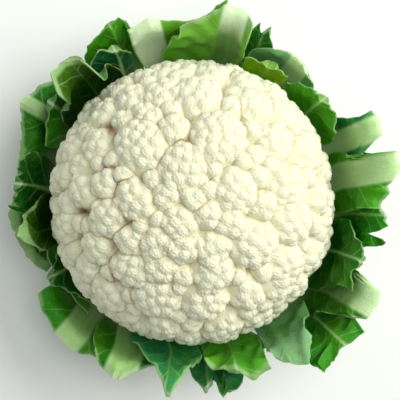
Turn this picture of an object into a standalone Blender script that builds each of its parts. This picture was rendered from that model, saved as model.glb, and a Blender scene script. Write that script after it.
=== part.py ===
"""A trimmed cauliflower: a domed head of florets on a cut stalk, with three whorls of wrapper leaves.

The stalk stands on its cut end at z = 0 and the head's axis is the Z axis. Lengths below are in
millimetres and angles in degrees, counted anticlockwise from +X as seen from above. MM turns a
length into metres when a mesh is made.
"""

import math
from collections import namedtuple

import bmesh
import bpy
import numpy as np

MM = 0.001

# Head: a dome over a flatter underside, on a foot as wide as the stalk
HEAD_RADIUS = 81.0
HEAD_MID_Z = 64.0
HEAD_RISE = 62.0
HEAD_DROP = 27.0
HEAD_FOOT_RADIUS = 26.0
HEAD_GRID = 63
LOWER_DEPTH = 54.0
FOOT_FROM = 0.93
UNDER_FROM = 100.0
UNDER_TO = 125.0
BRANCHES = 11
BRANCH_RELIEF = 0.05
BRANCH_POWER = 6

# Florets: domes that fall away from their middles, down to the bottom of the creases
CREASE_DEPTH = 8.0
FLORET_WIDE = 1.1
FLORET_DROP = 0.42
FLORET_POWER = 3.0
FLORET_LIFT = 0.24
FLORET_MEAN = 10.0
FLORET_LOWEST = 114.0
WARP = 1.3
WARP_SHORT = 5.0
WARP_LONG = 8.0
FILL_RADIUS = 9.5
FILL_STEPS = 420
FILL_LEAST = 0.5
FILL_GROWTH = 1.15
FILL_MOST = 1.25
SMALL_STEPS = 1800
SMALL_LEAST = 2.6
SMALL_GROWTH = 1.15

# Lobes: round lumps that cover each floret
LOBE_RADIUS = 5.2
LOBE_VARIES = 0.2
LOBE_RISE = 1.2
LOBE_PITCH = 7.6
LOBE_REACH = 0.95
LOBES_LEAST = 3
LOBE_DRAW = 7

# Stalk, with its outline as (radius, height) from the flat cut end up to the head's foot
GAP = 0.3
STALK_RADIUS = 26.4
STALK_TOP = HEAD_MID_Z - HEAD_DROP - GAP
STALK_OUTLINE = [
    (0.0, 0.0),
    (24.5, 0.0),
    (25.7, 1.2),
    (25.2, 5.0),
    (25.2, 8.0),
    (STALK_RADIUS, 13.0),
    (STALK_RADIUS, 31.0),
    (25.2, STALK_TOP - 2.0),
    (24.5, STALK_TOP),
    (0.0, STALK_TOP),
]
STALK_SIDES = 40
MERGE = 0.01

# Leaves grow along a bowl, given as (radius, height) for the innermost whorl
BOWL = [
    (STALK_RADIUS + 0.6, 27.5),
    (45.0, 30.5),
    (60.0, 36.5),
    (74.0, 46.0),
    (82.5, 58.0),
    (86.5, 70.0),
    (91.0, 82.0),
    (99.5, 91.0),
    (112.0, 96.0),
    (128.0, 98.0),
]
BOWL_STEPS = 60
BOWL_SAMPLES = 400
WHORL_DEPTH = (2.5, 9.5, 16.5)
LEAF_ROWS = (0.0, 0.16, 0.32, 0.46, 0.57, 0.66, 0.74, 0.81, 0.87, 0.93, 1.0)

# Places along a leaf, as lengths from the stalk
TURN_FROM = 5.0
WIDEN_FROM = 20.0
WIDEN_TO = 72.0
PETIOLE_TO = 55.0
WAVE_FROM = 55.0
WAVE_TO = 85.0
BELLY_FROM = 58.0
BELLY_TO = 96.0
FLARE_FROM = 60.0
FLARE_TO = 110.0
ROLL_FROM = 76.0
ROLL_TO = 100.0
TAPER_TO = 110.0

# Form of a leaf
FLARE_SPREAD = 0.25
BLADE_THICK = 1.0
RIB_BASE_THICK = 5.0
RIB_TIP_THICK = 2.4
RIB_REACH = 95.0
RIB_FLANK = 1.25
RIB_CLEAR = 1.35
PETIOLE_EDGE = 0.9
BASE_HALF_WIDTH = 6.2
BEND_FROM = 88.0
BEND_TO = 108.0
BEND_STEPS = 16
CURL_RADIUS = 7.0
UPRIGHT = 75.0
WAVE_HEIGHT = 1.8
WAVE_LENGTH = 26.0
WAVE_PER_RIB = 1.0 / 37.0
WAVE_PER_SIDE = 0.2
BELLY_MOST = 9.0
BELLY_SHARE = 0.42
SHARP_EDGE = 50.0
SIDE_STEP = 0.01

WHITE_CURD = (0.86, 0.82, 0.67, 1.0)
PALE_GREEN = (0.62, 0.70, 0.38, 1.0)
LEAF_GREEN = (0.09, 0.27, 0.05, 1.0)
CURD_ROUGHNESS = 0.75
GREEN_ROUGHNESS = 0.5

GOLDEN_TURN = math.pi * (3.0 - math.sqrt(5.0))
HEXAGON = math.sqrt(3.0) / 2.0
ALONG_Y = 0.9

# The florets that show from above, as (x, y, radius)
FLORETS = [
    (-28.5, 31.7, 15.2), (-4.5, 19.8, 14.2), (16.2, 37.2, 16.3), (24.9, 6.7, 12.5),
    (35.8, -24.9, 14.2), (3.1, 61.2, 13.6), (35.8, 55.7, 10.9), (47.8, 35.0, 11.4),
    (52.1, 52.4, 9.8), (32.5, 68.8, 10.3), (12.9, 75.3, 9.8), (-17.6, 62.2, 10.3),
    (-35.0, 60.1, 9.8), (-25.2, 49.2, 7.8), (-38.3, 47.0, 6.5), (-10.0, 41.5, 8.2),
    (-51.4, 51.4, 9.8), (-54.6, 32.8, 9.8), (-68.8, 30.7, 9.3), (-49.2, 10.0, 8.2),
    (-63.3, 6.7, 9.3), (-31.7, 1.2, 11.4), (-47.5, -9.1, 11.4), (-73.1, -15.1, 9.8),
    (-54.1, -26.0, 10.3), (-34.5, -38.0, 10.9), (-35.0, -21.6, 8.2), (-19.8, -23.8, 9.3),
    (-17.6, -37.4, 9.3), (12.4, -41.2, 11.4), (11.8, -27.1, 9.8), (-4.5, -26.0, 9.3),
    (-6.7, -11.8, 9.8), (9.6, -7.5, 7.1), (22.2, -11.8, 8.2), (-14.3, 3.4, 7.1),
    (0.9, 2.3, 6.5), (-19.8, -55.4, 13.6), (7.5, -58.7, 12.5), (32.5, -53.8, 9.8),
    (-48.1, -53.2, 12.0), (54.3, -35.8, 12.0), (50.0, -48.9, 9.3), (57.6, -10.7, 13.6),
    (55.4, 10.0, 12.5), (67.4, 28.5, 12.5), (64.1, 44.8, 10.3), (73.9, 2.3, 9.8),
    (70.6, -32.5, 10.3), (-15.4, -71.7, 10.9), (18.4, -72.8, 11.4), (39.1, -67.4, 9.3),
]

# One leaf: its whorl from inside to outside, the angle where it leaves the stalk, the angle of its
# rib where it shows, half its rib's width, the angle that its end bends over to, how far its two side
# edges roll, negative towards the head, and its trimmed edge as (angle, reach from the axis)
Leaf = namedtuple("Leaf", "name whorl base rib rib_half bend roll_low roll_high edge")
LEAVES = [
    Leaf("leaf_01", 0, 0, 10, 8.0, -50, 0, -2, [(-2, 107), (5, 110), (9, 117), (14, 116), (15.5, 99)]),
    Leaf("leaf_02", 0, 35, 38, 3.0, None, 0, 0, [(27, 91), (35, 94), (43, 92), (51, 88)]),
    Leaf("leaf_03", 0, 68, 60, 4.0, None, -5, -4, [(53, 90), (60, 89), (69, 88)]),
    Leaf("leaf_04", 0, 100, 77, 7.5, -20, -8, 0, [(71, 104), (75, 110), (80, 111), (86, 103), (94, 98)]),
    Leaf("leaf_05", 0, 140, 131, 4.5, 10, -17, -15,
         [(126, 96), (128, 102), (132, 105), (137, 107), (141, 102)]),
    Leaf("leaf_06", 0, 208, 208, 3.0, None, 0, 0, [(201, 84), (206, 89), (210, 92), (214, 86), (218, 83)]),
    Leaf("leaf_07", 0, 240, 262, 3.0, -25, 0, 0, [(254, 88), (258, 95), (263, 110), (268, 96), (273, 90)]),
    Leaf("leaf_08", 0, 296, 302, 4.0, -10, -3, 0, [(297, 95), (300, 103), (306, 111), (312, 99)]),
    Leaf("leaf_09", 0, 328, 341, 3.0, None, 0, 0,
         [(331, 103), (336, 98), (342, 101), (347, 97), (352, 90)]),
    Leaf("leaf_10", 1, 25, 22, 7.0, -45, 0, 0, [(17, 97), (19, 113), (24, 115), (27, 112)]),
    Leaf("leaf_11", 1, 62, 52, 7.5, -10, -2, 0, [(43, 92), (48, 98), (53, 101), (61, 100), (63, 94)]),
    Leaf("leaf_12", 1, 98, 105, 9.0, -25, 0, 0,
         [(80, 114), (86, 107), (92, 102), (98, 104), (104, 107), (110.5, 103)]),
    Leaf("leaf_13", 1, 127, 117, 3.0, None, -3, 0, [(112.5, 94), (115, 96), (122, 100), (125, 96)]),
    Leaf("leaf_14", 1, 181, 174, 3.0, None, 0, 0, [(165, 98), (169, 102), (174, 99), (180, 102)]),
    Leaf("leaf_15", 1, 235, 247, 9.5, -45, 0, 1,
         [(239, 100), (241.5, 107), (245, 109.5), (248, 109), (250.5, 102), (258, 89)]),
    Leaf("leaf_16", 0, 268, 285, 4.5, -60, 0, 0,
         [(275, 92), (280, 95), (285, 97), (289, 105), (295.5, 103)]),
    Leaf("leaf_17", 1, 318, 331, 9.0, -20, 0, 0,
         [(323, 107), (326, 117), (331, 118), (334.5, 116.5), (336.5, 104)]),
    Leaf("leaf_18", 1, 350, 356, 3.5, None, 0, 2,
         [(345, 98), (348, 113), (350, 101), (353, 111), (358, 107), (362, 101)]),
    Leaf("leaf_19", 2, 67, 67, 3.0, None, 3, 0, [(63, 96), (66, 108), (67.5, 102), (69, 109), (72, 98)]),
    Leaf("leaf_20", 2, 121, 115, 3.0, None, 0, 0,
         [(107.3, 92), (108.8, 98), (110, 105), (111.3, 112), (117, 109), (122, 106)]),
    Leaf("leaf_21", 2, 155, 149, 5.0, -60, 0, 2,
         [(138, 106), (144, 111), (150, 114), (160, 106), (168, 102)]),
    Leaf("leaf_22", 2, 190, 190, 6.0, -65, 0, 0,
         [(178, 102), (183, 106), (188, 107), (196, 102), (203, 94)]),
    Leaf("leaf_23", 2, 222, 228, 9.0, -55, 2, 2,
         [(214, 104), (221, 109), (228, 111), (233, 110), (237, 107)]),
    Leaf("leaf_24", 2, 276, 275, 3.5, None, 3, 3,
         [(266, 94), (269, 95), (274, 108), (277, 103), (279, 112), (285, 107), (288, 100), (296, 98),
          (303, 92)]),
    Leaf("leaf_25", 2, 312, 317, 4.0, None, 0, 0,
         [(305, 107), (306.5, 114), (308, 121), (315, 118), (323, 121), (324.5, 113), (326, 105)]),
    Leaf("leaf_26", 2, 9, 1, 4.0, None, 3, 3, [(-8, 98), (-2, 104), (4, 101), (7, 90)]),
    Leaf("leaf_27", 0, 178, 191, 3.5, -45, 0, 0, [(185, 91), (188, 97), (191, 99), (194, 95), (197, 90)]),
    Leaf("leaf_28", 2, 40, 40, 5.0, None, 0, 0, [(28, 90), (36, 93), (46, 92), (56, 88)]),
    Leaf("leaf_29", 2, 94, 89, 5.0, None, 0, 0, [(77, 93), (85, 98), (95, 96), (103, 91), (106, 89)]),
    Leaf("leaf_30", 2, 249, 251, 4.0, None, 0, 0, [(244, 90), (251, 93), (258, 88)]),
    Leaf("leaf_31", 2, 340, 340, 5.0, None, 0, 0, [(331, 90), (340, 95), (349, 91)]),
    Leaf("leaf_32", 1, 208, 211, 5.0, None, 0, 0, [(201, 87), (206, 90), (213, 88), (222, 86)]),
    Leaf("leaf_33", 1, 154, 145, 4.0, None, 0, 0, [(133, 93), (141, 98), (150, 96), (156, 91)]),
]


def clear_scene():
    for obj in list(bpy.data.objects):
        bpy.data.objects.remove(obj)


def make_material(name, colour, roughness):
    material = bpy.data.materials.new(name)
    material.use_nodes = True
    shader = material.node_tree.nodes["Principled BSDF"]
    shader.inputs["Base Color"].default_value = colour
    shader.inputs["Roughness"].default_value = roughness
    shader.inputs["Metallic"].default_value = 0.0
    return material


def add_object(mesh, material):
    """Links a mesh's object, shaded smooth except at sharp edges."""
    mesh.materials.append(material)
    mesh.shade_smooth()
    mesh.set_sharp_from_angle(angle=math.radians(SHARP_EDGE))
    obj = bpy.data.objects.new(mesh.name, mesh)
    bpy.context.scene.collection.objects.link(obj)


def mesh_from(name, points, faces):
    """A closed mesh from points in millimetres."""
    mesh = bpy.data.meshes.new(name)
    mesh.from_pydata((np.asarray(points) * MM).tolist(), [], faces)
    mesh.validate()
    return mesh


def smoothstep(low, high, value):
    share = np.clip((np.asarray(value, float) - low) / (high - low), 0.0, 1.0)
    return share * share * (3.0 - 2.0 * share)


def sides_of(axis):
    """Two unit vectors square to an axis and to each other."""
    side = np.cross(axis, (0.0, 1.0, 0.0) if abs(axis[1]) < ALONG_Y else (1.0, 0.0, 0.0))
    side /= np.linalg.norm(side)
    return side, np.cross(axis, side)


def around(axis, half_angle, count):
    """Unit vectors spread evenly by the golden angle over a cap round an axis."""
    side, other = sides_of(axis)
    k = np.arange(count) + 0.5
    height = 1.0 - k / count * (1.0 - math.cos(math.radians(half_angle)))
    flat = np.sqrt(1.0 - height**2)
    turn = k * GOLDEN_TURN
    return (
        np.outer(height, axis)
        + np.outer(flat * np.cos(turn), side)
        + np.outer(flat * np.sin(turn), other)
    )


def dome_point(direction):
    """Where the head's dome lies in a direction from its centre."""
    depth = HEAD_RISE if direction[2] >= 0.0 else HEAD_DROP
    wide = (direction[0] ** 2 + direction[1] ** 2) / HEAD_RADIUS**2
    return direction / math.sqrt(wide + (direction[2] / depth) ** 2)


def dome_normal(point):
    """Outward normal of the dome, taken as deeper below than it is, so that low florets face outwards."""
    depth = HEAD_RISE if point[2] >= 0.0 else LOWER_DEPTH
    normal = np.array([point[0], point[1], point[2] * (HEAD_RADIUS / depth) ** 2])
    return normal / np.linalg.norm(normal)


def fill_gaps(florets, steps, least, growth, most):
    """Adds a floret wherever the ones so far leave room."""
    for direction in around(np.array([0.0, 0.0, 1.0]), FLORET_LOWEST, steps):
        point = dome_point(direction)
        room = min(np.linalg.norm(point - other) - radius for other, radius in florets)
        if room > least:
            florets.append((point, min(room * growth, most)))


def placed_florets():
    """(point on the dome, radius) of every floret: those seen from above, then those that fill the gaps."""
    florets = []
    for x, y, radius in FLORETS:
        level = math.sqrt(max(0.0, 1.0 - (x * x + y * y) / HEAD_RADIUS**2))
        florets.append((np.array([x, y, HEAD_RISE * level]), radius))
    widest = FILL_RADIUS * FILL_MOST
    fill_gaps(florets, FILL_STEPS, FILL_RADIUS * FILL_LEAST, FILL_GROWTH, widest)
    fill_gaps(florets, SMALL_STEPS, SMALL_LEAST, SMALL_GROWTH, widest)
    return florets


def floret_profile(radius, away):
    """A floret's height over the dome at a share of its width from its middle."""
    return FLORET_LIFT * (radius - FLORET_MEAN) - FLORET_DROP * radius * away**FLORET_POWER


def warped(points):
    """Points moved by slow waves, so that the florets are less round."""
    before, after = np.roll(points, 1, axis=-1), np.roll(points, -1, axis=-1)
    return points + WARP * (np.sin(before / WARP_SHORT) + np.sin(after / WARP_LONG))


def floret_heights(points, florets):
    """How far the florets stand over the dome at points on it: below 0 in the creases between them."""
    height = np.full(points.shape[:-1], -CREASE_DEPTH)
    moved = warped(points)
    for centre, radius in florets:
        away = np.linalg.norm(moved - warped(centre), axis=-1) / (radius * FLORET_WIDE)
        height = np.maximum(height, floret_profile(radius, away))
    return height


def placed_lobes(florets):
    """(points on the dome, outward directions, radii) of the lobes, spread over each floret."""
    draw = np.random.default_rng(LOBE_DRAW)
    lobes = []
    for centre, radius in florets:
        side, other = sides_of(dome_normal(centre))
        wide = radius * FLORET_WIDE
        count = max(LOBES_LEAST, round(math.pi * (wide * LOBE_REACH / LOBE_PITCH) ** 2 / HEXAGON))
        for k in range(count):
            away = LOBE_REACH * math.sqrt((k + 0.5) / count)
            turn = k * GOLDEN_TURN + centre[0]
            out = side * math.cos(turn) + other * math.sin(turn)
            point = centre + out * away * wide
            point = dome_point(point / np.linalg.norm(point))
            steep = FLORET_DROP * FLORET_POWER / FLORET_WIDE * away ** (FLORET_POWER - 1.0)
            outward = dome_normal(point) + out * steep
            outward /= np.linalg.norm(outward)
            lobes.append((point, outward, LOBE_RADIUS * draw.uniform(1.0 - LOBE_VARIES, 1.0 + LOBE_VARIES)))
    return [np.array(values) for values in zip(*lobes)]


def head_directions():
    """A square grid over the head: unit directions, polar angles, turns and shares of the way to its foot."""
    line = np.linspace(-1.0, 1.0, HEAD_GRID)
    a, b = np.meshgrid(line, line, indexing="ij")
    wide = np.abs(a) > np.abs(b)
    share = np.where(wide, np.abs(a), np.abs(b))
    ratio = np.where(wide, b / np.where(a == 0, 1, a), a / np.where(b == 0, 1, b))
    turn = np.where(wide, ratio * math.pi / 4, math.pi / 2 - ratio * math.pi / 4)
    turn = turn + np.where(np.where(wide, a, b) < 0, math.pi, 0.0)
    lowest = math.pi - math.atan2(HEAD_FOOT_RADIUS, HEAD_DROP)
    polar = 2.0 * np.arcsin(share * math.sin(lowest / 2.0))
    level = np.sin(polar)
    directions = np.stack([level * np.cos(turn), level * np.sin(turn), np.cos(polar)], axis=-1)
    return directions, polar, turn, share


def head_distances(directions, polar, turn, share):
    """How far the head reaches in each direction: florets on the dome, branches below, and every lobe."""
    depth = np.where(directions[..., 2] >= 0.0, HEAD_RISE, HEAD_DROP)
    wide = (directions[..., 0] ** 2 + directions[..., 1] ** 2) / HEAD_RADIUS**2
    dome = 1.0 / np.sqrt(wide + (directions[..., 2] / depth) ** 2)
    under = smoothstep(math.radians(UNDER_FROM), math.radians(UNDER_TO), polar)
    florets = placed_florets()
    over = floret_heights(directions * dome[..., None], florets) * (1.0 - under)
    branches = BRANCH_RELIEF * np.cos(BRANCHES * turn) * under * (1.0 - share**BRANCH_POWER)
    reach = (dome + over) * (1.0 + branches)
    grown, outward, radii = placed_lobes(florets)
    heights = floret_heights(grown, florets) / np.linalg.norm(grown, axis=-1)
    centres = grown * (1.0 + heights[:, None]) + outward * (LOBE_RISE - radii)[:, None]
    along = directions @ centres.T
    inside = along**2 - (centres**2).sum(1) + radii**2
    hit = np.where(inside > 0.0, along + np.sqrt(np.maximum(inside, 0.0)), 0.0)
    reach = np.maximum(reach, hit.max(-1))
    foot = math.hypot(HEAD_FOOT_RADIUS, HEAD_DROP)
    return reach + (foot - reach) * smoothstep(FOOT_FROM, 1.0, share)


def grid_rim(rows, columns):
    """The outer points of a grid, numbered row by row, once round."""
    rim = [i * columns for i in range(rows - 1)]
    rim += [(rows - 1) * columns + j for j in range(columns - 1)]
    rim += [(rows - 1 - i) * columns + columns - 1 for i in range(rows - 1)]
    rim += [columns - 1 - j for j in range(columns - 1)]
    return rim


def build_head(material):
    directions, polar, turn, share = head_directions()
    reach = head_distances(directions, polar, turn, share)
    points = (directions * reach[..., None]).reshape(-1, 3) + (0.0, 0.0, HEAD_MID_Z)
    half = (HEAD_GRID - 1) / 2
    faces = []
    for i in range(HEAD_GRID - 1):
        for j in range(HEAD_GRID - 1):
            a, b = i * HEAD_GRID + j, (i + 1) * HEAD_GRID + j
            if (i < half) == (j < half):
                faces += [(a, b, b + 1), (a, b + 1, a + 1)]
            else:
                faces += [(a, b, a + 1), (b, b + 1, a + 1)]
    rim = grid_rim(HEAD_GRID, HEAD_GRID)
    foot_centre = len(points)
    points = np.vstack([points, (0.0, 0.0, HEAD_MID_Z - HEAD_DROP)])
    for here, after in zip(rim, rim[1:] + rim[:1]):
        faces.append((foot_centre, after, here))
    add_object(mesh_from("curd", points, faces), material)


def build_stalk(material):
    """The cut stalk, turned round its axis, from its flat cut end up to the head's foot."""
    work = bmesh.new()
    line = [work.verts.new((radius * MM, 0.0, z * MM)) for radius, z in STALK_OUTLINE]
    edges = [work.edges.new(pair) for pair in zip(line, line[1:])]
    bmesh.ops.spin(
        work,
        geom=line + edges,
        cent=(0.0, 0.0, 0.0),
        axis=(0.0, 0.0, 1.0),
        angle=2.0 * math.pi,
        steps=STALK_SIDES,
    )
    bmesh.ops.remove_doubles(work, verts=work.verts, dist=MERGE * MM)
    bmesh.ops.recalc_face_normals(work, faces=work.faces)
    mesh = bpy.data.meshes.new("stalk")
    work.to_mesh(mesh)
    work.free()
    add_object(mesh, material)


def bowl_curve():
    """The bowl's outline as (length, radius, height, slope), from a smooth curve through its points."""
    knots = np.array(BOWL)
    knots = np.vstack([2 * knots[0] - knots[1], knots, 2 * knots[-1] - knots[-2]])
    t = np.linspace(0.0, 1.0, BOWL_STEPS, endpoint=False)[:, None]
    parts = []
    for k in range(1, len(knots) - 2):
        p0, p1, p2, p3 = knots[k - 1 : k + 3]
        square = 2 * p0 - 5 * p1 + 4 * p2 - p3
        cube = 3 * p1 - p0 - 3 * p2 + p3
        parts.append(0.5 * (2 * p1 + (p2 - p0) * t + square * t**2 + cube * t**3))
    points = np.vstack(parts + [knots[-2:-1]])
    length = np.concatenate([[0.0], np.cumsum(np.hypot(*np.diff(points, axis=0).T))])
    even = np.linspace(0.0, length[-1], BOWL_SAMPLES)
    radius = np.interp(even, length, points[:, 0])
    height = np.interp(even, length, points[:, 1])
    slope = np.arctan2(np.gradient(height), np.gradient(radius))
    return even, radius, height, slope


def leaf_path(bowl, depth, reach, bend):
    """(radius, height, length) of one lengthwise line of a leaf that ends at a reach from the axis.

    Where the leaf reaches far enough, its end bends over to an angle from the horizontal.
    """
    length, radius, height, slope = bowl
    offset = depth * (1.0 + FLARE_SPREAD * smoothstep(FLARE_FROM, FLARE_TO, length))
    r = radius + offset * np.sin(slope)
    z = height - offset * np.cos(slope)
    bending = 0.0 if bend is None else smoothstep(BEND_FROM, BEND_TO, reach)
    last = math.radians(UPRIGHT + ((bend or 0.0) - UPRIGHT) * bending)
    curl = CURL_RADIUS * bending
    run = curl * np.maximum(np.sin(slope) - math.sin(last), 0.0)
    past = np.nonzero((r + run >= reach) & (length > FLARE_FROM))[0]
    stop = past[0] if len(past) else len(r) - 1
    turned = np.linspace(slope[stop], min(last, slope[stop]), BEND_STEPS)[1:]
    r = np.concatenate([r[: stop + 1], r[stop] + curl * (math.sin(slope[stop]) - np.sin(turned))])
    z = np.concatenate([z[: stop + 1], z[stop] + curl * (np.cos(turned) - math.cos(slope[stop]))])
    return r, z, np.concatenate([length[: stop + 1], length[stop] + curl * (slope[stop] - turned)])


def rib_turn(leaf):
    """Half the rib's width as an angle."""
    return math.degrees(leaf.rib_half / RIB_REACH)


def leaf_columns(leaf):
    """(angles, reaches) of a leaf's lengthwise lines: its edge's points, and the rib's middle and sides."""
    edge = np.array(leaf.edge, float)
    low, high = edge[0, 0], edge[-1, 0]
    clear = rib_turn(leaf) * RIB_CLEAR
    angles = [a for a in edge[:, 0] if abs(a - leaf.rib) > clear or a in (low, high)]
    angles += [leaf.rib - rib_turn(leaf), leaf.rib, leaf.rib + rib_turn(leaf)]
    angles = sorted({a for a in angles if low <= a <= high})
    return angles, np.interp(angles, edge[:, 0], edge[:, 1])


def belly(leaf):
    """How many degrees wider than its end a leaf is lower down, on each side, where its whorl has room."""
    room = {-1: 360.0, 1: 360.0}
    for other in LEAVES:
        if other.whorl == leaf.whorl and other is not leaf:
            room[1] = min(room[1], (other.edge[0][0] - leaf.edge[-1][0]) % 360.0)
            room[-1] = min(room[-1], (leaf.edge[0][0] - other.edge[-1][0]) % 360.0)
    return {side: min(BELLY_MOST, BELLY_SHARE * gap) for side, gap in room.items()}


def leaf_push(leaf, lengths, side):
    """How far waves and rolled side edges push a leaf out of its bowl."""
    roll = leaf.roll_high if side > 0 else leaf.roll_low
    phase = lengths / WAVE_LENGTH + leaf.rib * WAVE_PER_RIB + WAVE_PER_SIDE * side
    wave = WAVE_HEIGHT * np.sin(2.0 * math.pi * phase) * smoothstep(WAVE_FROM, WAVE_TO, lengths)
    return side**2 * (roll * smoothstep(ROLL_FROM, ROLL_TO, lengths) + wave)


def leaf_line(leaf, bowl, angle, reach, wider):
    """(points, outward directions, lengths, side) of one lengthwise line of a leaf's inner face.

    The side is -1 to 1 across the leaf.
    """
    low, high = leaf.edge[0][0], leaf.edge[-1][0]
    span = (high - leaf.rib) if angle > leaf.rib else (leaf.rib - low)
    side = (angle - leaf.rib) / span
    r, z, s = leaf_path(bowl, WHORL_DEPTH[leaf.whorl], reach, leaf.bend)
    rows = np.array(LEAF_ROWS) * s[-1]
    r, z, s = np.interp(rows, s, r), np.interp(rows, s, z), rows
    middle = leaf.base + (leaf.rib - leaf.base) * smoothstep(TURN_FROM, WIDEN_TO, s)
    narrow = math.degrees(BASE_HALF_WIDTH / STALK_RADIUS) * side * BOWL[0][0] / r
    full = angle - leaf.rib + side * wider * (1.0 - smoothstep(BELLY_FROM, BELLY_TO, s))
    turn = np.radians(middle + narrow + (full - narrow) * smoothstep(WIDEN_FROM, WIDEN_TO, s))
    push = leaf_push(leaf, s, side)
    change = leaf_push(leaf, s, side + SIDE_STEP) - leaf_push(leaf, s, side - SIDE_STEP)
    across = change / (2.0 * SIDE_STEP * math.radians(span) * r)
    along = np.gradient(push, s)
    steep = np.arctan2(np.gradient(z), np.gradient(r))
    level, rise = np.sin(steep) - along * np.cos(steep), -np.cos(steep) - along * np.sin(steep)
    outward = np.stack(
        [
            level * np.cos(turn) + across * np.sin(turn),
            level * np.sin(turn) - across * np.cos(turn),
            rise,
        ],
        axis=-1,
    )
    outward /= np.linalg.norm(outward, axis=-1, keepdims=True)
    r, z = r + push * np.sin(steep), z - push * np.cos(steep)
    return np.stack([r * np.cos(turn), r * np.sin(turn), z], axis=-1), outward, s, side


def leaf_thickness(leaf, angles, lengths, sides):
    """Thickness of a leaf at each point: the blade with its round rib, and the thick petiole by the stalk."""
    across = (np.array(angles)[None, :] - leaf.rib) / (rib_turn(leaf) * RIB_FLANK)
    tall = RIB_BASE_THICK + (RIB_TIP_THICK - RIB_BASE_THICK) * smoothstep(WIDEN_FROM, TAPER_TO, lengths)
    rib = tall * np.sqrt(np.clip(1.0 - across**2, 0.0, 1.0))
    petiole = RIB_BASE_THICK * np.sqrt(1.0 - (np.array(sides)[None, :] * PETIOLE_EDGE) ** 2)
    petiole = petiole * (1.0 - smoothstep(WIDEN_FROM, PETIOLE_TO, lengths))
    return BLADE_THICK + np.maximum(rib, petiole)


def build_leaf(leaf, bowl, material):
    """A leaf as its inner face, its outer face a thickness away, and the rim between them."""
    angles, reaches = leaf_columns(leaf)
    wider = belly(leaf)
    lines = [leaf_line(leaf, bowl, a, r, wider[1 if a > leaf.rib else -1]) for a, r in zip(angles, reaches)]
    inner, outward, lengths = (np.stack([line[k] for line in lines], axis=1) for k in range(3))
    thick = leaf_thickness(leaf, angles, lengths, [line[3] for line in lines])
    outer = inner + outward * thick[..., None]
    rows, columns = lengths.shape
    points = np.vstack([inner.reshape(-1, 3), outer.reshape(-1, 3)])
    shift = rows * columns
    faces = []
    for i in range(rows - 1):
        for j in range(columns - 1):
            a, b = i * columns + j, (i + 1) * columns + j
            if reaches[j + 1] > reaches[j]:
                halves = [(a, b, a + 1), (b, b + 1, a + 1)]
            else:
                halves = [(a, b, b + 1), (a, b + 1, a + 1)]
            faces += halves
            faces += [tuple(corner + shift for corner in reversed(half)) for half in halves]
    rim = grid_rim(rows, columns)
    for here, after in zip(rim, rim[1:] + rim[:1]):
        faces += [(here, here + shift, after + shift), (here, after + shift, after)]
    add_object(mesh_from(leaf.name, points, faces), material)


def main():
    clear_scene()
    build_head(make_material("curd_white", WHITE_CURD, CURD_ROUGHNESS))
    build_stalk(make_material("stalk_pale_green", PALE_GREEN, GREEN_ROUGHNESS))
    leaf_green = make_material("leaf_green", LEAF_GREEN, GREEN_ROUGHNESS)
    bowl = bowl_curve()
    for leaf in LEAVES:
        build_leaf(leaf, bowl, leaf_green)


main()
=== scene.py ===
"""Looks of the trimmed cauliflower: the fine curd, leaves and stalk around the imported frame.

Lengths are in millimetres and angles in degrees anticlockwise from +X as seen from above, unless a
name says otherwise. MM turns a length into metres where a mesh, lamp or camera is made.
"""

import math
from collections import namedtuple

import bmesh
import bpy
import numpy as np
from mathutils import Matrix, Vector, noise


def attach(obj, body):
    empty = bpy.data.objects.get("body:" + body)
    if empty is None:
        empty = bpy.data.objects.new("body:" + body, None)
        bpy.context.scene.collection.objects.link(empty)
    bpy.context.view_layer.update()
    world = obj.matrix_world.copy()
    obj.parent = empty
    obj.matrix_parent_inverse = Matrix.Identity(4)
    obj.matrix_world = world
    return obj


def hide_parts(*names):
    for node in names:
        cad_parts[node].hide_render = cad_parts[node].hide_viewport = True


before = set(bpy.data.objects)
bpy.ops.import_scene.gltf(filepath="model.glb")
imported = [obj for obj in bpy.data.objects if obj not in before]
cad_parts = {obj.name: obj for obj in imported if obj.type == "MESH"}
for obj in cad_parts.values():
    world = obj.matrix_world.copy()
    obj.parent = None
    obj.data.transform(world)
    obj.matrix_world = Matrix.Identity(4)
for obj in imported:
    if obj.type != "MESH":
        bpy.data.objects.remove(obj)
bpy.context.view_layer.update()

MM = 0.001
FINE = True

# Head: a dome over a flatter underside, on a foot as wide as the stalk
HEAD_RADIUS = 81.0
HEAD_MID_Z = 64.0
HEAD_RISE = 62.0
HEAD_DROP = 27.0
HEAD_FOOT_RADIUS = 26.0
LOWER_DEPTH = 54.0
FOOT_FROM = 0.93
UNDER_FROM = 100.0
UNDER_TO = 125.0
BRANCHES = 11
BRANCH_RELIEF = 0.05
BRANCH_POWER = 6

# Florets: domes that fall away from their middles, down to the bottom of the creases
CREASE_DEPTH = 8.0
FLORET_WIDE = 1.1
FLORET_DROP = 0.42
FLORET_POWER = 3.0
FLORET_LIFT = 0.24
FLORET_MEAN = 10.0
FLORET_LOWEST = 114.0
WARP = 1.3
WARP_SHORT = 5.0
WARP_LONG = 8.0
FILL_RADIUS = 9.5
FILL_STEPS = 420
FILL_LEAST = 0.5
FILL_GROWTH = 1.15
FILL_MOST = 1.25
SMALL_STEPS = 1800
SMALL_LEAST = 2.6
SMALL_GROWTH = 1.15

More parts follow.
